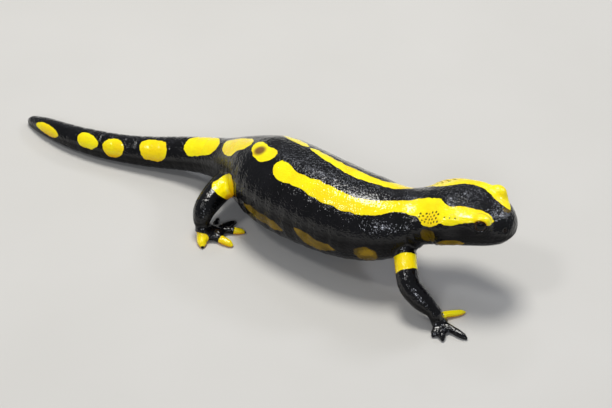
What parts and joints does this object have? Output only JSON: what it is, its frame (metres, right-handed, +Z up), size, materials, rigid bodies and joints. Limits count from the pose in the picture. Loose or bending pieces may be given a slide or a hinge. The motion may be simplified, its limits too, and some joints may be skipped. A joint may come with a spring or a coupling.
{
  "type": "fire salamander",
  "caption": "Still, life-size fire salamander standing on its feet with its tail laid on the floor, body bent to one side and head raised.",
  "frame": {"origin": "On the floor, under the middle of the bounding box.", "axes": "+X along the body toward the head, +Y toward the animal's left side, +Z up. The camera of the picture is on the -Y side, above."},
  "size_m": [0.1635, 0.0578, 0.03],
  "materials": {
    "skin": "wet, glossy black skin with bright yellow stripes and spots",
    "eye": "polished, dark brown to black"
  },
  "bodies": {
    "root": {"head": "skin", "lower_jaw": "skin", "eye_right": "eye", "eye_left": "eye", "neck": "skin", "torso_front": "skin", "torso_rear": "skin", "tail_base": "skin", "tail_middle": "skin", "tail_tip": "skin", "front_leg_right": "skin", "front_foot_right": "skin", "front_leg_left": "skin", "front_foot_left": "skin", "hind_leg_right": "skin", "hind_foot_right": "skin", "hind_leg_left": "skin", "hind_foot_left": "skin"}
  },
  "joints": []
}
